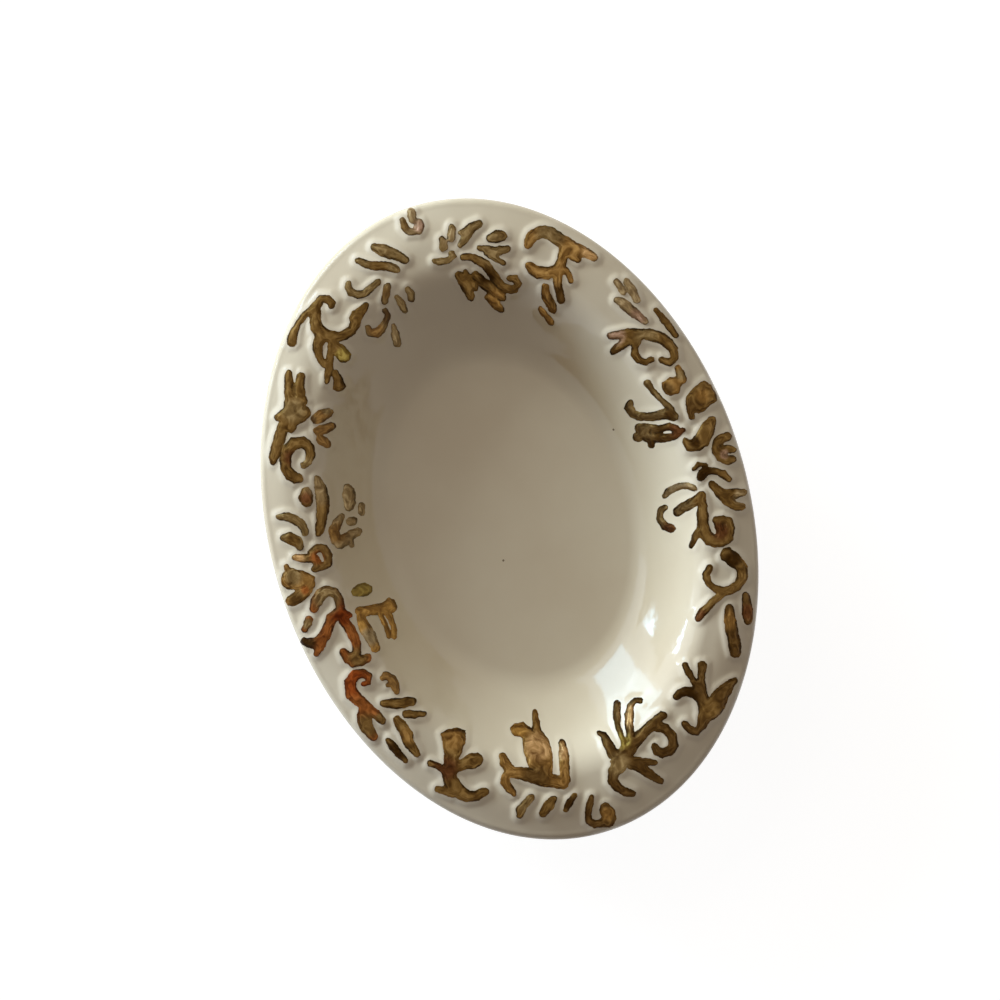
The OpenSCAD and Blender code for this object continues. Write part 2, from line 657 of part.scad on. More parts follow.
module leaf_fan() {
    color(bronze)
        strokes([
            [[-33.3, -26.1, 1.1], [-31.8, -26.9, 1.5], [-29.6, -27.5, 1.5]],
            [[-34.3, -28, 1], [-32.5, -28.6, 1.3], [-29.3, -29.4, 1.2]],
            [[-29.3, -26.9, 1.7], [-29.1, -28.4, 2.3], [-28.6, -29.8, 2.3]],
            [[-27.2, -27, 1.6], [-26.8, -28.4, 2.2], [-27.2, -30.1, 2.4]],
            [[-26.4, -29.7, 1.4], [-25.3, -30.2, 1.1], [-25, -30.6, 0.7]],
            [[-27.9, -30.3, 1.6], [-27.8, -31.2, 1.5], [-27.6, -32.1, 1]],
            [
                [-28.2, -30.6, 1.2], [-26.8, -31.2, 1.4], [-25, -32.3, 1.7], [-23.1, -33.6, 1.8],
                [-21.4, -34.7, 1.3], [-20.7, -35, 0.7]
            ]
        ]);
}

module three_petals() {
    color(pale_gold)
        strokes([
            [[-26, -23.3, 1.3], [-25.8, -25, 1.7], [-25.5, -26.2, 1.4]],
            [[-23.7, -23.7, 1.1], [-23.6, -25.1, 1.4], [-23.6, -26.5, 1]],
            [[-20.9, -25.3, 1], [-21.6, -25.9, 1.4], [-22.5, -26.5, 0.9]]
        ]);
}

module hook_scroll() {
    color(bronze)
        strokes([
            [
                [-41.3, -12.2, 0.8], [-40.4, -13.5, 1.2], [-39.3, -14.6, 1.4], [-38, -15.8, 1.4],
                [-37.5, -17.3, 1.4], [-37.8, -19, 1.6], [-38.5, -20.3, 2.1], [-40, -21.2, 1.9],
                [-42, -21, 1.6], [-43.7, -20.3, 1.4], [-44.6, -19.1, 1.2], [-44.2, -18.1, 1.2],
                [-43.3, -17.7, 1.2], [-42.8, -18, 0.9]
            ],
            [[-40.7, -13.6, 0.8], [-40.3, -14.5, 1], [-39.7, -15.3, 0.7]],
            [
                [-43.4, -20.8, 1.2], [-42.9, -22.4, 0.8], [-42, -23.8, 0.8], [-40.8, -25, 1.1],
                [-39.7, -25.8, 1.5], [-38.9, -26, 1.4]
            ],
            [[-38.5, -21, 1.8], [-37.1, -22.1, 1.5], [-35.5, -22.3, 1], [-33.8, -21.9, 0.9]],
            [
                [-37.3, -19.6, 0.9], [-36, -20.1, 0.8], [-34.4, -20.7, 1], [-32.8, -21.4, 1],
                [-30.9, -22.4, 0.5]
            ],
            [[-36.6, -19.6, 1], [-35.3, -18.7, 1.9], [-33.9, -18.2, 2]],
            [[-32.1, -20.5, 0.6], [-30.9, -20.4, 1.4], [-29.5, -20.6, 2]]
        ]);
}

module small_tendril() {
    color(pale_gold)
        strokes([
            [[-41.9, -4.8, 0.7], [-41, -4.5, 1], [-40, -4.7, 0.8]],
            [[-41.1, -7, 0.6], [-39.9, -6.5, 1.1], [-38.6, -6.4, 0.8]],
            [[-43.3, -7.9, 0.9], [-42.1, -8.5, 1.1], [-40.9, -9.1, 0.9]],
            [
                [-39.6, -9.6, 0.7], [-38.8, -9.3, 0.8], [-37.8, -10, 0.9], [-36.9, -10.9, 1.1],
                [-36.4, -12.1, 1.5], [-36.7, -13, 1.2], [-37.7, -13.1, 0.7]
            ],
            [[-36.8, -8.9, 0.5], [-35.2, -9.2, 1.2], [-33.7, -9.3, 1.1]]
        ]);
}

module plain_hook() {
    color(bronze)
        strokes([
            [
                [-44.4, -9.1, 0.8], [-43.9, -10.5, 0.9], [-43.2, -11.9, 1], [-43.4, -13.1, 1.1],
                [-44.1, -14, 1.1], [-45.1, -14.2, 1], [-45.8, -14, 0.6]
            ]
        ]);
}

module twin_strokes() {
    color(bronze)
        strokes([
            [[-46.5, -3.7, 1.1], [-47.8, -5, 1.6], [-49.2, -6.8, 1.8], [-50.3, -8.2, 1]],
            [[-45.4, -5.5, 1], [-46.5, -7, 1.2], [-47, -8.8, 1.2], [-48, -10.4, 1.1], [-48.9, -11.5, 0.8]]
        ]);
}

dish_body();
foot_ring();
edge_bud();
twig_sprig();
leaf_spray();
crown_scroll();
trio_leaves();
tailed_scroll();
round_bud();
hooked_stem();
arched_leaf();
block_leaf();
comma_leaf();
fork_leaf();
forked_twig();
ribbon_scroll();
cup_curl();
ring_scroll();
paired_dashes();
forked_scroll();
spiral_scroll();
hooked_bud();
three_dashes();
broad_leaf();
curl_leaf();
leaf_dashes();
amber_hook();
short_leaf();
amber_scroll();
pale_fan();
oval_bead();
edge_leaves();
square_spiral();
dash_leaves();
long_leaf();
berry_cluster();
c_scroll();
leaf_fan();
three_petals();
hook_scroll();
small_tendril();
plain_hook();
twin_strokes();
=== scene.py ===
import math

import bmesh
import bpy
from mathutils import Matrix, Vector, noise
from mathutils.bvhtree import BVHTree
from mathutils.kdtree import KDTree


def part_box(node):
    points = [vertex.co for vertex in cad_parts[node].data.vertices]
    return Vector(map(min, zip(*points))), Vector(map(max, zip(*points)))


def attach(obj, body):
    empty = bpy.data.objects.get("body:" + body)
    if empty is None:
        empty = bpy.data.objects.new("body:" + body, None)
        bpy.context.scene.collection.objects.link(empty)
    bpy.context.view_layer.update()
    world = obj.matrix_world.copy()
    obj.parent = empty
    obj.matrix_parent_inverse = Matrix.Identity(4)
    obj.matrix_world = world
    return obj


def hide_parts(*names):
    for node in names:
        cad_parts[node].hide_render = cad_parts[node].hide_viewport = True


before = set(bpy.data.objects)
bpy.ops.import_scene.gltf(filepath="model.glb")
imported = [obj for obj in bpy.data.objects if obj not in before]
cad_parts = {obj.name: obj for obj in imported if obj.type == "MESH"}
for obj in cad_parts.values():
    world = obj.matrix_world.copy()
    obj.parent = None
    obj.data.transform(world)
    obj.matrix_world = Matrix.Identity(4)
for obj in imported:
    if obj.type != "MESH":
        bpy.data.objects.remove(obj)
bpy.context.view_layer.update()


# Dish. One thin casting of pale clay, well and broad rim together, dipped in an ivory
# glaze that lies smooth and deep. The rim carries cast relief: soft banks of clay under
# every gilded stroke, over which the glaze runs thin.
MM = 0.001
dish_low, dish_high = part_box("dish_body")
edge_r = dish_high.x
oval = dish_high.y / dish_high.x
crest_z = dish_high.z
under_z = dish_low.z

# The casting's profile along the dish: floor, wall, rim and lip.
floor_r = 26.5 * MM
mouth_r = 45 * MM
toe_run = 5 * MM
brow_run = 4.5 * MM
clay_t = 4 * MM
wall_out = 1 * MM
rim_fall = 1.1 * MM
lip_run = 1.4 * MM
lip_half = 1.35 * MM
lip_r = edge_r - lip_run
floor_z = under_z + clay_t

# Where the relief starts, and how finely the profile is stepped and turned.
relief_r = 30.5 * MM
floor_step = 3 * MM
relief_step = 0.3 * MM
under_step = 2 * MM
lip_steps = 12
quarter_turns = 205
weld = 0.001 * MM
slack = 0.01 * MM

# Clay banks under the strokes, the rim's unevenness, and the run of the melted glaze.
bank_h = 0.28 * MM
bank_flat = 0.22 * MM
bank_run = 1.1 * MM
bank_low_r = 36 * MM
bank_wall_share = 0.25
sway_h = 0.1 * MM
sway_size = 9 * MM
run_h = 0.15 * MM
run_end_r = edge_r - lip_run / 4


def wall_height(r):
    """Height of the well's inside at radius r, up to the crest where the rim begins."""
    slope = (crest_z - floor_z) / (mouth_r - floor_r - (toe_run + brow_run) / 2)
    if r <= floor_r:
        return floor_z
    if r < floor_r + toe_run:
        return floor_z + slope * (r - floor_r) ** 2 / (2 * toe_run)
    if r < mouth_r - brow_run:
        return floor_z + slope * (r - floor_r - toe_run / 2)
    if r < mouth_r:
        return crest_z - slope * (mouth_r - r) ** 2 / (2 * brow_run)
    return crest_z


def top_height(r):
    """Height of the dish's upper face at radius r, as measured along the dish."""
    if r <= mouth_r:
        return wall_height(r)
    if r <= lip_r:
        return crest_z - rim_fall * ((r - mouth_r) / (lip_r - mouth_r)) ** 2
    reach = min(1, (r - lip_r) / lip_run)
    return crest_z - rim_fall - lip_half + lip_half * math.sqrt(1 - reach ** 2)


def spaced(start, stop, step):
    """Values from start up to, but not including, stop, about a step apart."""
    count = round(abs(stop - start) / step)
    return [start + (stop - start) * i / count for i in range(count)]


def smooth(x):
    """An eased step that rises from 0 at 0 to 1 at 1."""
    x = min(1, max(0, x))
    return x * x * (3 - 2 * x)


def round_radius(x, y):
    """A point's radius on the round that the oval was drawn in from."""
    return math.hypot(x, y / oval)


SPRIGS = [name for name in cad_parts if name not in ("dish_body", "foot_ring")]


def flat_tree(names):
    """Search tree over the outlines of these strokes, seen from above."""
    points, faces = [], []
    for name in names:
        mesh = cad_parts[name].data
        first = len(points)
        points += [(v.co.x, v.co.y, 0) for v in mesh.vertices]
        faces += [[first + i for i in face.vertices] for face in mesh.polygons]
    return BVHTree.FromPolygons(points, faces)


strokes_seen = flat_tree(SPRIGS)


def bank(x, y):
    """Height of the relief's clay bank: full on the rim, and only a share of it on the wall."""
    distance = strokes_seen.find_nearest(Vector((x, y, 0)))[3]
    up_wall = smooth((round_radius(x, y) - bank_low_r) / (mouth_r - bank_low_r))
    high = bank_h * (bank_wall_share + (1 - bank_wall_share) * up_wall)
    return high * smooth(1 - (distance - bank_flat) / bank_run)


def sway(x, y):
    """Slow unevenness of the hand-finished rim, none in the well."""
    share = smooth((round_radius(x, y) - mouth_r + brow_run) / brow_run)
    return sway_h * share * noise.noise(Vector((x, y, 0)) / sway_size)


def glaze_run(r):
    """Thickness that the melted glaze has gained or lost at radius r: it is thinnest low on
    the wall, fuller under the brow, and fuller again along the middle of the rim."""
    wall = (r - relief_r) / (mouth_r - relief_r)
    rim = (r - mouth_r) / (lip_r - mouth_r)
    if 0 < wall < 1:
        return -run_h * math.sin(math.tau * wall) * math.sin(math.pi * wall)
    if 0 < rim < 1:
        return run_h * math.sin(math.pi * rim) ** 2
    return 0


def glaze_height(x, y):
    """Height of the glazed upper face at this point, with its banks, sway and run."""
    r = round_radius(x, y)
    return top_height(r) + glaze_run(r) + bank(x, y) + sway(x, y)


def finished(name, bm, material, slot, *nodes):
    """Makes a bmesh a finished piece: smooth, with its material, riding on the dish, and
    standing for these nodes."""
    mesh = bpy.data.meshes.new(name)
    bm.to_mesh(mesh)
    bm.free()
    mesh.shade_smooth()
    mesh.materials.append(material)
    piece = bpy.data.objects.new(name, mesh)
    bpy.context.scene.collection.objects.link(piece)
    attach(piece, "root")
    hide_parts(*nodes)


def new_material(name):
    """A new material with its node tree and its shader."""
    material = bpy.data.materials.new(name)
    material.use_nodes = True
    shader = material.node_tree.nodes["Principled BSDF"]
    return material, material.node_tree, shader


def add(tree, kind, *links, **settings):
    """A new node with its settings. Each link is (from socket, name of the node's input)."""
    node = tree.nodes.new(kind)
    for key, value in settings.items():
        if hasattr(node, key):
            setattr(node, key, value)
        else:
            node.inputs[key].default_value = value
    for source, target in links:
        tree.links.new(source, node.inputs[target])
    return node


def linear(red, green, blue):
    """A colour given as seen on a screen, 0 to 255, in the renderer's linear values."""
    def step(value):
        value /= 255
        return value / 12.92 if value <= 0.04045 else ((value + 0.055) / 1.055) ** 2.4
    return step(red), step(green), step(blue), 1


def grey(value):
    """An even grey, given in the renderer's linear values."""
    return value, value, value, 1


def ramp(tree, value, *stops):
    """Colour ramp over a value. Each stop is (place, linear colour)."""
    node = tree.nodes.new("ShaderNodeValToRGB")
    elements = node.color_ramp.elements
    while len(elements) < len(stops):
        elements.new(0.5)
    for element, (place, colour) in zip(elements, stops):
        element.position = place
        element.color = colour
    tree.links.new(value, node.inputs[0])
    return node.outputs["Color"]


def blended(tree, share, first, second, blend="MIX"):
    """Two colours mixed. The share, and either colour, may be a socket or a value."""
    node = tree.nodes.new("ShaderNodeMix")
    node.data_type = "RGBA"
    node.blend_type = blend
    # A colour mix takes its share in input 0, and its two colours in inputs 6 and 7.
    for i, value in ((0, share), (6, first), (7, second)):
        socket = node.inputs[i]
        if isinstance(value, bpy.types.NodeSocket):
            tree.links.new(value, socket)
        else:
            socket.default_value = value
    return node.outputs[2]


def arithmetic(tree, operation, first, second, clamp=False):
    """The result of one sum on two numbers, each a socket or a value."""
    node = tree.nodes.new("ShaderNodeMath")
    node.operation = operation
    node.use_clamp = clamp
    for socket, value in zip(node.inputs, (first, second)):
        if isinstance(value, bpy.types.NodeSocket):
            tree.links.new(value, socket)
        else:
            socket.default_value = value
    return node.outputs[0]


ivory_deep = linear(211, 198, 173)
ivory_light = linear(219, 209, 186)
# Ivory over the relief: thinner glaze, and partly a painted highlight where the banks catch the
# light.
ivory_thin_and_highlit = linear(230, 223, 208)
thin_and_highlit_share = 0.3
burnt = linear(122, 106, 85)
burnt_specks = ((6.5, -3.1, 0.19), (-9.2, 21.4, 0.2))
glaze_ior = 1.52


def ivory_glaze():
    """Deep, even ivory glaze with faint clouds, thinner and paler on the relief, where the
    paleness is partly a painted highlight for the light that the banks catch. Each burnt
    speck is (x, y, radius), in millimetres on the dish."""
    material, tree, shader = new_material("ivory_glaze")
    place = add(tree, "ShaderNodeTexCoord").outputs["Object"]
    clouds = add(tree, "ShaderNodeTexNoise", (place, "Vector"), Scale=45, Detail=3).outputs["Fac"]
    body = ramp(tree, clouds, (0.3, ivory_deep), (0.7, ivory_light))
    thin = add(tree, "ShaderNodeAttribute", attribute_name="relief").outputs["Fac"]
    # Over the relief the glaze is paler: thinner glaze, and partly a painted highlight on the
    # banks.
    body = blended(tree, arithmetic(tree, "MULTIPLY", thin, thin_and_highlit_share), body, ivory_thin_and_highlit)
    for x, y, radius in burnt_specks:
        away = tree.nodes.new("ShaderNodeVectorMath")
        away.operation = "DISTANCE"
        tree.links.new(place, away.inputs[0])
        speck_z = wall_height(round_radius(x, y) * MM)
        away.inputs[1].default_value = (x * MM, y * MM, speck_z)
        speck = arithmetic(tree, "LESS_THAN", away.outputs["Value"], radius * MM)
        body = blended(tree, speck, body, burnt)
    tree.links.new(body, shader.inputs["Base Color"])
    shader.inputs["IOR"].default_value = glaze_ior
    ripple = add(tree, "ShaderNodeTexNoise", (place, "Vector"), Scale=330, Detail=2).outputs["Fac"]
    gloss = ramp(tree, clouds, (0.3, grey(0.05)), (0.7, grey(0.09)))
    tree.links.new(gloss, shader.inputs["Roughness"])
    bump = add(tree, "ShaderNodeBump", (ripple, "Height"), Strength=0.5, Distance=0.0001)
    tree.links.new(bump.outputs["Normal"], shader.inputs["Normal"])
    return material


def dish_outline():
    """Outline of half the dish, from the middle of the floor over the lip to below it."""
    rows = spaced(0, floor_r, floor_step) + spaced(floor_r, relief_r, 2 * relief_step)
    rows += spaced(relief_r, lip_r, relief_step)
    upper = [(r, top_height(r)) for r in rows]
    lip_z = crest_z - rim_fall - lip_half
    turned = [math.pi / 2 - math.pi * i / lip_steps for i in range(lip_steps + 1)]
    lip = [(lip_r + lip_run * math.cos(a), lip_z + lip_half * math.sin(a)) for a in turned]
    rows = spaced(mouth_r, floor_r, under_step)
    under = [(r + wall_out, wall_height(r) - clay_t) for r in rows]
    return upper + lip + under + [(floor_r + wall_out, under_z), (0, under_z)]


def dish_glaze():
    """The glazed dish: its outline turned a quarter, mirrored twice and drawn in to an oval,
    then raised by whatever lies on the casting."""
    bm = bmesh.new()
    line = [bm.verts.new((r, 0, z)) for r, z in dish_outline()]
    sides = [bm.edges.new(pair) for pair in zip(line, line[1:])]
    bmesh.ops.spin(
        bm, geom=line + sides, cent=(0, 0, 0), axis=(0, 0, 1), angle=math.tau / 4,
        steps=quarter_turns, use_duplicate=False,
    )
    for axis in "XY":
        whole = bm.verts[:] + bm.edges[:] + bm.faces[:]
        bmesh.ops.mirror(bm, geom=whole, axis=axis, merge_dist=weld)
    bmesh.ops.scale(bm, vec=(1, oval, 1), verts=bm.verts)
    bmesh.ops.remove_doubles(bm, verts=bm.verts, dist=weld)
    bmesh.ops.recalc_face_normals(bm, faces=bm.faces)
    # The relief's height, which also pales the glaze over it, partly as a painted highlight.
    relief = bm.verts.layers.float.new("relief")
    for v in bm.verts:
        r = round_radius(v.co.x, v.co.y)
        if relief_r < r < run_end_r and v.co.z > top_height(r) - slack:
            raised = bank(v.co.x, v.co.y)
            v.co.z += raised + glaze_run(r) + sway(v.co.x, v.co.y)
            v[relief] = raised / bank_h
    return bm


finished("glazed_dish", dish_glaze(), ivory_glaze(), "ivory_glaze", "dish_body")


# Foot. A narrow ring of bare fired clay under the floor, turned on the wheel and wiped
# clean of glaze so that the dish doesn't stick in the kiln. It is dry and a little sandy.
clay_dark = linear(196, 178, 152)
clay_light = linear(221, 207, 184)
grit_dark = (0.55, 0.5, 0.44, 1)


def bare_clay():
    """Dry fired clay: faint clouds, and dark grit that is felt in its relief as well."""
    material, tree, shader = new_material("bare_clay")
    place = add(tree, "ShaderNodeTexCoord").outputs["Object"]
    clouds = add(tree, "ShaderNodeTexNoise", (place, "Vector"), Scale=220, Detail=5).outputs["Fac"]
    colour = ramp(tree, clouds, (0.3, clay_dark), (0.7, clay_light))
    grit = add(tree, "ShaderNodeTexNoise", (place, "Vector"), Scale=2600, Detail=3).outputs["Fac"]
    dark = ramp(tree, grit, (0.28, grit_dark), (0.42, grey(1)))
    tree.links.new(blended(tree, 1.0, colour, dark, "MULTIPLY"), shader.inputs["Base Color"])
    shader.inputs["Roughness"].default_value = 0.88
    bump = add(tree, "ShaderNodeBump", (grit, "Height"), Strength=0.5, Distance=0.0001)
    tree.links.new(bump.outputs["Normal"], shader.inputs["Normal"])
    return material


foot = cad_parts["foot_ring"]
foot.data.materials.clear()
foot.data.materials.append(bare_clay())


# Gilded strokes. Each sprig of the relief is painted by hand with liquid gold, which
# fires to a thin bronze-gold film: darker and speckled here and there along the stroke's
# edge, redder or paler where it was laid on thick or thin. Its colour also carries painted
# shade on the stroke's sides, a painted highlight on its crown, and a painted sheen in
# its palest streaks.

# Height of a stroke, how the film fills it out, and how its top is flattened and crowned.
full_h = 0.75 * MM
over_bank = 1 - bank_h / full_h
film = 0.29 * MM
sink = 0.07 * MM
plateau = 0.38 * MM
shoulder = 0.45
crown_run = 0.7 * MM

# Fineness of the rounded copy, its rounds of easing, and how level a side's face may be.
voxel = 0.12 * MM
rounds = 5
side_slope = 0.5

# How far the edge strays, slowly and finely, the same at every run, and how a dab of
# another tone fades out.
wander_size = 1.1 * MM
wander = 0.16 * MM
ragged_size = 0.4 * MM
ragged = 0.08 * MM
wander_seed = 7
noise.seed_set(wander_seed)
dab_core = 1.6
dab_fade = 1.2

# The film's tones as seen on a screen, 0 to 255.
TONES = {
    "black_brown": (54, 34, 10),
    "dark_bronze": (82, 58, 26),
    "bronze": (104, 77, 37),
    "olive": (119, 96, 57),
    "pale_olive": (142, 119, 80),
    "yellow_olive": (132, 110, 50),
    "honey": (128, 94, 46),
    "gold": (156, 116, 54),
    "tan": (178, 140, 88),
    "pink": (144, 113, 86),
    "clear": (148, 127, 90),
    "red_brown": (88, 54, 27),
    "orange": (122, 70, 28),
    "amber": (114, 52, 14),
}


# How the film is laid: the margin, in millimetres, in which the brush marks follow the
# stroke's side, how fast they change across it, how fast the dark edge gives way and how
# speckled it is, and the colours that shade the tone: the brush-mark washes, the palest
# of them partly a painted sheen, painted shade for the stroke's sides, a painted highlight
# for its crown, and the brown of the edge.
margin = 0.55
across_step = 0.004
edge_fade = 5
speckle = 1.6
thin_wash = (0.3, 0.22, 0.15, 1)
even_wash = (0.95, 0.92, 0.9, 1)
pale_wash_and_sheen = (2, 2.2, 2.7, 1)
painted_side_shade = (0.84, 0.8, 0.75, 1)
painted_crown_highlight = (1.16, 1.16, 1.2, 1)
edge_brown = (0.02, 0.01, 0.003, 1)


def hand_gilding():
    """Node group for the gold film: its colour with brush marks that follow the stroke, the
    palest of them partly a painted sheen, a patchy dark edge, painted shade on its sides and
    a painted highlight on its crown, its wear, and its fine relief."""
    group = bpy.data.node_groups.new("hand_gilding", "ShaderNodeTree")
    for way, name, kind in (
        ("INPUT", "Tone", "NodeSocketColor"),
        ("INPUT", "Inside", "NodeSocketFloat"),
        ("INPUT", "Streak", "NodeSocketFloat"),
        ("INPUT", "Edge Dark", "NodeSocketFloat"),
        ("OUTPUT", "Color", "NodeSocketColor"),
        ("OUTPUT", "Film", "NodeSocketFloat"),
        ("OUTPUT", "Height", "NodeSocketFloat"),
    ):
        group.interface.new_socket(name, in_out=way, socket_type=kind)
    asked = group.nodes.new("NodeGroupInput").outputs
    given = group.nodes.new("NodeGroupOutput").inputs
    place = add(group, "ShaderNodeTexCoord").outputs["Object"]

    across = arithmetic(group, "MINIMUM", asked["Inside"], margin)
    across = arithmetic(group, "MULTIPLY", across, across_step)
    across = add(group, "ShaderNodeCombineXYZ", (across, "Z")).outputs[0]
    along = group.nodes.new("ShaderNodeVectorMath")
    group.links.new(place, along.inputs[0])
    group.links.new(across, along.inputs[1])
    along = along.outputs["Vector"]
    brush = add(group, "ShaderNodeTexNoise", (along, "Vector"), Scale=500, Detail=4, Distortion=1.1)
    brush = brush.outputs["Fac"]
    # Brush-mark washes. The palest, bluish one is partly a painted sheen.
    wash = ramp(group, brush, (0.3, thin_wash), (0.5, even_wash), (0.72, pale_wash_and_sheen))
    colour = blended(group, asked["Streak"], asked["Tone"], wash, "MULTIPLY")
    # Painted shade on the stroke's sides, and a painted highlight on its crown.
    crown = ramp(group, asked["Inside"], (0.1, painted_side_shade), (0.6, painted_crown_highlight))
    colour = blended(group, asked["Streak"], colour, crown, "MULTIPLY")

    grain = add(group, "ShaderNodeTexNoise", (place, "Vector"), Scale=3200, Detail=2).outputs["Fac"]
    nudge = arithmetic(group, "MULTIPLY", arithmetic(group, "SUBTRACT", grain, 0.5), speckle)
    inner = arithmetic(group, "MULTIPLY", asked["Inside"], edge_fade)
    inner = arithmetic(group, "ADD", inner, nudge, clamp=True)
    edge = arithmetic(group, "SUBTRACT", 1.0, inner)
    patchy = add(group, "ShaderNodeTexNoise", (place, "Vector"), Scale=430, Detail=2).outputs["Fac"]
    patchy = ramp(group, patchy, (0.42, grey(0.06)), (0.6, grey(1)))
    patchy = arithmetic(group, "MULTIPLY", patchy, asked["Edge Dark"])
    edge = arithmetic(group, "MULTIPLY", edge, patchy)
    colour = blended(group, edge, colour, edge_brown)
    group.links.new(colour, given["Color"])

    worn = ramp(group, grain, (0.2, grey(0.7)), (0.4, grey(1)))
    group.links.new(worn, given["Film"])
    group.links.new(brush, given["Height"])
    return group


gilding = hand_gilding()


def lustre(name, metal, rough, streak, edge_dark):
    """One of the dish's gold lustres: how much it is a metal, how rough, how streaky, and how
    dark at its edges."""
    material, tree, shader = new_material(name)
    tone = add(tree, "ShaderNodeAttribute", attribute_name="tone").outputs["Color"]
    inside = add(tree, "ShaderNodeAttribute", attribute_name="inside").outputs["Fac"]
    coat = add(tree, "ShaderNodeGroup", node_tree=gilding)
    coat.inputs["Streak"].default_value = streak
    coat.inputs["Edge Dark"].default_value = edge_dark
    tree.links.new(tone, coat.inputs["Tone"])
    tree.links.new(inside, coat.inputs["Inside"])
    tree.links.new(coat.outputs["Color"], shader.inputs["Base Color"])
    metallic = arithmetic(tree, "MULTIPLY", coat.outputs["Film"], metal)
    tree.links.new(metallic, shader.inputs["Metallic"])
    shader.inputs["Roughness"].default_value = rough
    marks = coat.outputs["Height"]
    bump = add(tree, "ShaderNodeBump", (marks, "Height"), Strength=0.6, Distance=0.0002)
    tree.links.new(bump.outputs["Normal"], shader.inputs["Normal"])
    return material


lustres = {
    "bronze_lustre": lustre("bronze_lustre", metal=1, rough=0.36, streak=0.8, edge_dark=0.85),
    "honey_lustre": lustre("honey_lustre", metal=1, rough=0.34, streak=0.9, edge_dark=0.8),
    "amber_lustre": lustre("amber_lustre", metal=0.95, rough=0.32, streak=0.95, edge_dark=0.85),
    "pale_lustre": lustre("pale_lustre", metal=0.85, rough=0.4, streak=0.75, edge_dark=0.6),
}


def rounded_copy(node):
    """The node's solids as one mesh of small even faces, fuller by the film and with their
    edges eased."""
    bm = bmesh.new()
    bm.from_mesh(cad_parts[node].data)
    bmesh.ops.remove_doubles(bm, verts=bm.verts, dist=weld)
    for v in bm.verts:
        v.co += v.normal * film
    mesh = bpy.data.meshes.new("blank")
    bm.to_mesh(mesh)
    bm.free()
    blank = bpy.data.objects.new("blank", mesh)
    bpy.context.scene.collection.objects.link(blank)
    remesh = blank.modifiers.new("remesh", "REMESH")
    remesh.mode = "VOXEL"
    remesh.voxel_size = voxel
    made = blank.evaluated_get(bpy.context.evaluated_depsgraph_get()).to_mesh()
    bm = bmesh.new()
    bm.from_mesh(made)
    bpy.data.objects.remove(blank)
    for _ in range(rounds):
        bmesh.ops.smooth_vert(
            bm, verts=bm.verts, factor=0.5, use_axis_x=True, use_axis_y=True, use_axis_z=True,
        )
    return bm


def unsteady(x, y):
    """How far the brush's edge strays from the drawn stroke at this point."""
    place = Vector((x, y, 0))
    slow = noise.noise_vector(place / wander_size) * wander
    return slow + noise.noise_vector(place / ragged_size) * ragged


def gild(node, slot, tone, *dabs):
    """Replaces a sprig's node with its gilded stroke of that lustre and tone. Each dab is a
    patch of another tone: (tone, x, y, radius), in millimetres on the dish."""
    bm = rounded_copy(node)
    inside = bm.verts.layers.float.new("inside")
    tones = bm.verts.layers.float_color.new("tone")
    base = Vector(linear(*TONES[tone]))
    bm.normal_update()
    skirt = KDTree(len(bm.verts))
    for v in bm.verts:
        if abs(v.normal.z) < side_slope:
            skirt.insert((v.co.x, v.co.y, 0), v.index)
    skirt.balance()
    for v in bm.verts:
        x, y = v.co.x, v.co.y
        proud = (v.co.z - top_height(round_radius(x, y))) * over_bank - sink
        v[inside] = skirt.find((x, y, 0))[2] / MM
        if proud > 0:
            crown = math.sin(math.pi / 2 * min(1, v[inside] * MM / crown_run))
            proud = plateau * math.tanh(proud / plateau) * (shoulder + (1 - shoulder) * crown)
        strayed = unsteady(x, y)
        v.co.x += strayed.x
        v.co.y += strayed.y
        v.co.z = glaze_height(v.co.x, v.co.y) + proud
        colour = base
        for other, dab_x, dab_y, dab_r in dabs:
            distance = math.hypot(x - dab_x * MM, y - dab_y * MM) / (dab_r * MM)
            share = smooth(dab_core - dab_fade * distance)
            colour = colour.lerp(Vector(linear(*TONES[other])), share)
        v[tones] = colour
    finished(node + "_gilt", bm, lustres[slot], slot, node)


gild("edge_bud", "pale_lustre", "pale_olive",
     ("pink", -51.3, 0.2, 1.2), ("bronze", -52.2, -2.2, 1.2))
gild("twig_sprig", "bronze_lustre", "olive", ("pale_olive", -47.6, 4.6, 1.6))
gild("leaf_spray", "bronze_lustre", "bronze",
     ("olive", -44, 11, 3), ("black_brown", -40, 8.5, 1.6), ("honey", -36, 9, 1.6))
gild("crown_scroll", "honey_lustre", "honey",
     ("olive", -43.6, 20.8, 2.6), ("dark_bronze", -33, 19.2, 2.2), ("tan", -38.4, 26.4, 1.8))
gild("trio_leaves", "pale_lustre", "pale_olive", ("pink", -26, 30.6, 1.5))
gild("tailed_scroll", "bronze_lustre", "bronze", ("olive", -22.5, 31, 2), ("pink", -24, 26, 1.6))
gild("round_bud", "honey_lustre", "honey",
     ("olive", -14.5, 34.6, 1), ("dark_bronze", -12.8, 31.6, 1.2))
gild("hooked_stem", "bronze_lustre", "olive",
     ("pale_olive", -11, 28.6, 1.6), ("dark_bronze", -8.6, 30.8, 1))
gild("arched_leaf", "bronze_lustre", "bronze",
     ("red_brown", -5.6, 31.5, 2), ("olive", -7.4, 26, 2))
gild("block_leaf", "honey_lustre", "bronze",
     ("honey", -10.1, 37, 1.2), ("dark_bronze", -8.6, 34.6, 1.6))
gild("comma_leaf", "bronze_lustre", "bronze", ("black_brown", -3, 33.4, 1))
gild("fork_leaf", "bronze_lustre", "bronze", ("pink", 0.4, 37.6, 0.8))
gild("forked_twig", "bronze_lustre", "bronze",
     ("pale_olive", 8, 38, 1.2), ("black_brown", 2.4, 33.4, 1.8))
gild("ribbon_scroll", "bronze_lustre", "bronze",
     ("red_brown", 12.4, 33, 1.6), ("olive", 7, 28.6, 1.8))
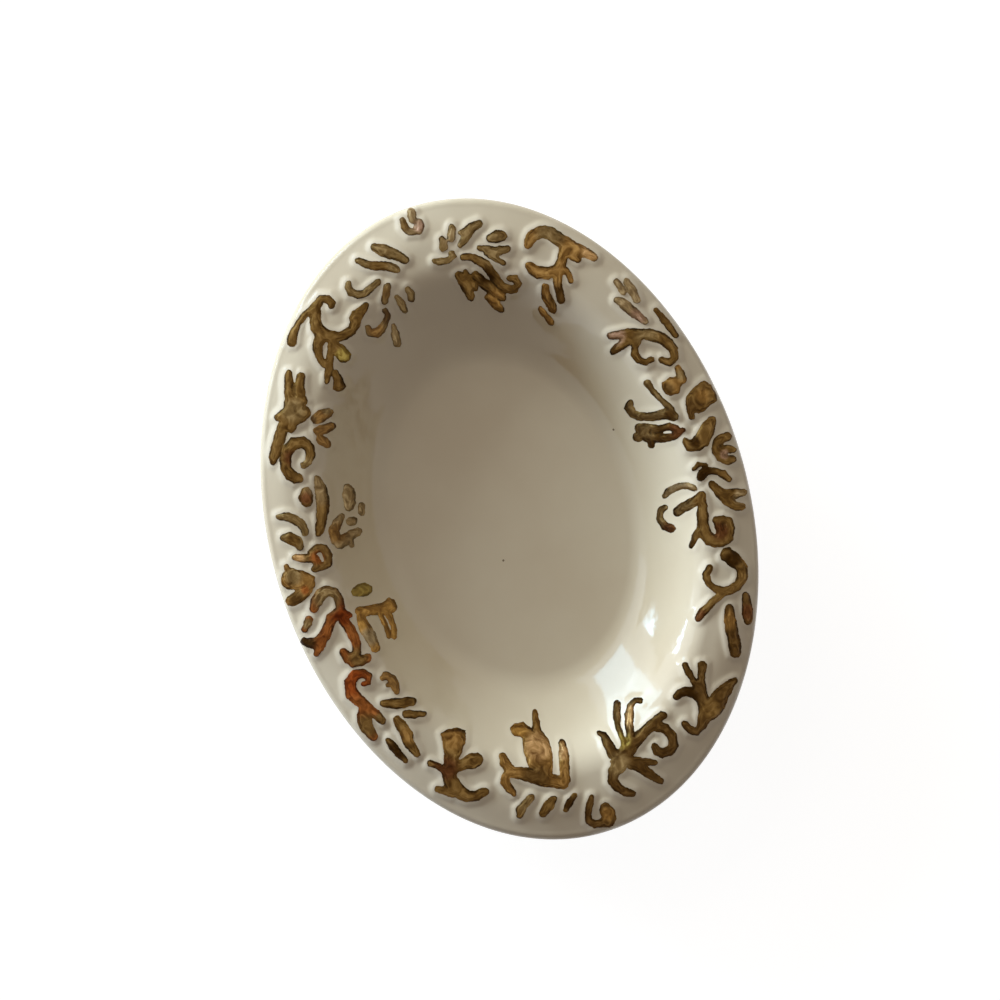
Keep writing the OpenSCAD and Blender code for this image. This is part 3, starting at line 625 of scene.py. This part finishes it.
gild("cup_curl", "bronze_lustre", "olive",
     ("red_brown", 9.4, 25.4, 1.2), ("clear", 3.6, 28.6, 2.4))
gild("ring_scroll", "bronze_lustre", "bronze",
     ("black_brown", 17.5, 33.6, 1.6), ("red_brown", 25, 25.6, 1.4))
gild("paired_dashes", "bronze_lustre", "dark_bronze",
     ("red_brown", 26.8, 33.4, 1.4), ("honey", 27, 30, 1.6))
gild("forked_scroll", "bronze_lustre", "dark_bronze",
     ("black_brown", 37.2, 19.6, 2), ("bronze", 40.4, 22.6, 1.8))
gild("spiral_scroll", "bronze_lustre", "dark_bronze",
     ("tan", 37.4, 9.4, 1.8), ("olive", 44.6, 5, 2), ("yellow_olive", 41, 7.1, 1.4))
gild("hooked_bud", "honey_lustre", "dark_bronze", ("honey", 52, 1, 1.2))
gild("three_dashes", "bronze_lustre", "bronze",
     ("black_brown", 48.4, -4.5, 1.4), ("olive", 46.4, -11.6, 1.6))
gild("broad_leaf", "honey_lustre", "honey",
     ("tan", 38, -6.6, 2.2), ("dark_bronze", 42.8, -8.8, 2.6), ("tan", 39.8, -3.3, 1.4),
     ("gold", 34, -9, 1.6))
gild("curl_leaf", "honey_lustre", "bronze",
     ("honey", 32, -19.8, 2.4), ("red_brown", 36.6, -22.6, 2.2))
gild("leaf_dashes", "bronze_lustre", "bronze",
     ("black_brown", 31.4, -29.4, 2), ("honey", 29.6, -27.2, 1.4))
gild("short_leaf", "pale_lustre", "honey")
gild("amber_hook", "amber_lustre", "orange",
     ("amber", 18.2, -33, 2.6), ("bronze", 26, -33.1, 2.2), ("bronze", 25.8, -30.4, 1.4))
gild("amber_scroll", "amber_lustre", "orange",
     ("amber", 7, -31.4, 2), ("black_brown", 9.8, -38.6, 1.8), ("olive", 3.4, -33, 2.6),
     ("olive", 6.7, -37.5, 1), ("bronze", 14.6, -31, 1.8))
gild("pale_fan", "pale_lustre", "gold", ("honey", 6, -23.4, 1.4), ("clear", 12, -28.2, 1.6))
gild("oval_bead", "pale_lustre", "yellow_olive")
gild("edge_leaves", "honey_lustre", "honey",
     ("olive", -1.6, -37.4, 1.6), ("orange", 1.2, -36.2, 0.8), ("dark_bronze", 2, -38, 1.4))
gild("square_spiral", "amber_lustre", "bronze",
     ("orange", -3.4, -32.6, 1.2), ("tan", -4.2, -35.6, 1))
gild("dash_leaves", "bronze_lustre", "olive", ("bronze", -7.4, -35.6, 1.4))
gild("long_leaf", "bronze_lustre", "bronze",
     ("pale_olive", -14.2, -28.8, 2.4), ("red_brown", -13.4, -31.4, 1.2))
gild("berry_cluster", "pale_lustre", "pale_olive", ("honey", -6.4, -28.4, 1.8))
gild("c_scroll", "bronze_lustre", "bronze",
     ("red_brown", -20.6, -31.8, 1.4), ("olive", -18.6, -29.6, 1.4))
gild("leaf_fan", "bronze_lustre", "bronze", ("olive", -28, -29, 2))
gild("three_petals", "pale_lustre", "honey",
     ("olive", -26.6, -23.6, 1), ("dark_bronze", -25.5, -26.6, 0.8))
gild("hook_scroll", "bronze_lustre", "bronze",
     ("yellow_olive", -34.4, -18.4, 1.3), ("red_brown", -36, -14.6, 1.2))
gild("small_tendril", "pale_lustre", "olive",
     ("bronze", -42.2, -8.5, 1.3), ("dark_bronze", -38.5, -9.5, 1.4), ("honey", -36.8, -12, 1.4),
     ("pale_olive", -34.9, -9.4, 1.8))
gild("plain_hook", "bronze_lustre", "olive")
gild("twin_strokes", "bronze_lustre", "olive", ("bronze", -46.8, -8.4, 1.8))


# Tabletop. A plain white sheet with no edge in sight. The camera, and whatever mirrors it,
# see it white, and only the dish's own shadow tints it.
sheet_size = 3.0
own_white = 0.91
tinted_share = 0.28
sheet_white = 0.8


def seen_by_eye(tree):
    """1 for what the camera sees, straight or in a mirror or through glass, 0 for light."""
    path = add(tree, "ShaderNodeLightPath").outputs
    seen = arithmetic(tree, "MAXIMUM", path["Is Camera Ray"], path["Is Glossy Ray"])
    return arithmetic(tree, "MAXIMUM", seen, path["Is Transmission Ray"])


def white_sheet():
    """White to the eye with a thin veil that takes shadow, and plain matt white to light."""
    material, tree, shader = new_material("white_sheet")
    shader.inputs["Base Color"].default_value = grey(sheet_white)
    shader.inputs["Roughness"].default_value = 1
    shader.inputs["Specular IOR Level"].default_value = 0
    veil = add(tree, "ShaderNodeBsdfDiffuse", Color=grey(tinted_share))
    glow = add(tree, "ShaderNodeEmission", Strength=own_white)
    lit = tree.nodes.new("ShaderNodeAddShader")
    tree.links.new(veil.outputs[0], lit.inputs[0])
    tree.links.new(glow.outputs[0], lit.inputs[1])
    choice = add(tree, "ShaderNodeMixShader")
    tree.links.new(seen_by_eye(tree), choice.inputs[0])
    tree.links.new(shader.outputs[0], choice.inputs[1])
    tree.links.new(lit.outputs[0], choice.inputs[2])
    tree.links.new(choice.outputs[0], tree.nodes["Material Output"].inputs["Surface"])
    return material


bm = bmesh.new()
bmesh.ops.create_grid(bm, x_segments=1, y_segments=1, size=sheet_size / 2)
mesh = bpy.data.meshes.new("tabletop")
bm.to_mesh(mesh)
bm.free()
mesh.materials.append(white_sheet())
tabletop = bpy.data.objects.new("tabletop", mesh)
bpy.context.scene.collection.objects.link(tabletop)


# Light. A low window in two parts on one side, soft but direct enough to shade the relief,
# the bright wall over it, a dimmer one further round, and a faint room all about. The glaze
# mirrors only the window's curtain, bar and sill and its two panes, one wide, one narrow.
def panel(name, azimuth, elevation, away, width, height, strength, colour, mirrored=False, roll=0):
    """Soft lamp that looks at the dish from that azimuth and elevation, rolled about its own
    axis, in degrees. Its distance, width and height are in metres, and its strength is its
    brightness where white is 1. It either lights the dish or shows in it."""
    lamp = bpy.data.lights.new(name, "AREA")
    lamp.shape = "RECTANGLE"
    lamp.size = width
    lamp.size_y = height
    lamp.energy = strength * width * height * math.pi
    lamp.color = colour
    a, e = math.radians(azimuth), math.radians(elevation)
    towards = Vector((math.cos(a) * math.cos(e), math.sin(a) * math.cos(e), math.sin(e)))
    held = bpy.data.objects.new(name, lamp)
    held.location = towards * away
    held.rotation_euler = towards.to_track_quat("Z", "Y").to_euler()
    held.rotation_euler.rotate_axis("Z", math.radians(roll))
    held.visible_glossy = mirrored
    held.visible_diffuse = not mirrored
    bpy.context.scene.collection.objects.link(held)


daylight = (0.83, 0.95, 1)
sky = (0.7, 0.82, 1)
blue = (0.42, 0.72, 1)
plaster = (1, 0.96, 0.86)
shade = (1, 0.76, 0.56)

# Azimuth and elevation, distance, width and height, strength and colour of each.
panel("window", 212, 13, 2.0, 0.85, 0.65, 19.9, daylight)
panel("low_window", 240, 7, 2.0, 0.75, 0.4, 26.5, sky)
panel("window_wall", 200, 30, 0.9, 0.7, 0.5, 2.1, plaster)
panel("far_wall", 130, 50, 1.0, 0.8, 0.8, 0.7, plaster)
panel("curtain", 222, 24, 0.9, 0.9, 0.6, 1.3, sky, mirrored=True)
panel("wide_pane", 211, 15.5, 0.8, 0.28, 0.27, 4.8, blue, mirrored=True)
panel("window_bar", 211, 10.5, 0.78, 0.26, 0.016, 2.8, sky, mirrored=True)
panel("narrow_pane", 238.2, 7.7, 0.8, 0.135, 0.036, 17, blue, mirrored=True, roll=-8)
panel("sill", 239.5, 8, 0.82, 0.22, 0.06, 1.4, daylight, mirrored=True)

room = 0.127
world = bpy.data.worlds.new("room")
bpy.context.scene.world = world
world.use_nodes = True
tree = world.node_tree
walls = tree.nodes["Background"]
walls.inputs["Color"].default_value = (*shade, 1)
walls.inputs["Strength"].default_value = room
white = add(tree, "ShaderNodeBackground", Strength=1.0)
choice = add(tree, "ShaderNodeMixShader")
tree.links.new(seen_by_eye(tree), choice.inputs[0])
tree.links.new(walls.outputs[0], choice.inputs[1])
tree.links.new(white.outputs[0], choice.inputs[2])
tree.links.new(choice.outputs[0], tree.nodes["World Output"].inputs["Surface"])


# Camera. It looks straight down on the dish, which lies turned in the picture, and takes in
# a square of frame_width at the height of the rim's crest.
camera_up = 0.6
frame_width = 0.1673
camera_x = -3.508 * MM
camera_y = -0.573 * MM
camera_turn = 72.7
sensor = 36
camera = bpy.data.objects.new("camera", bpy.data.cameras.new("camera"))
camera.location = (camera_x, camera_y, crest_z + camera_up)
camera.rotation_euler = (0, 0, math.radians(camera_turn))
camera.data.sensor_width = sensor
camera.data.lens = sensor * camera_up / frame_width
bpy.context.scene.collection.objects.link(camera)
bpy.context.scene.camera = camera
bpy.context.scene.view_settings.view_transform = "Standard"
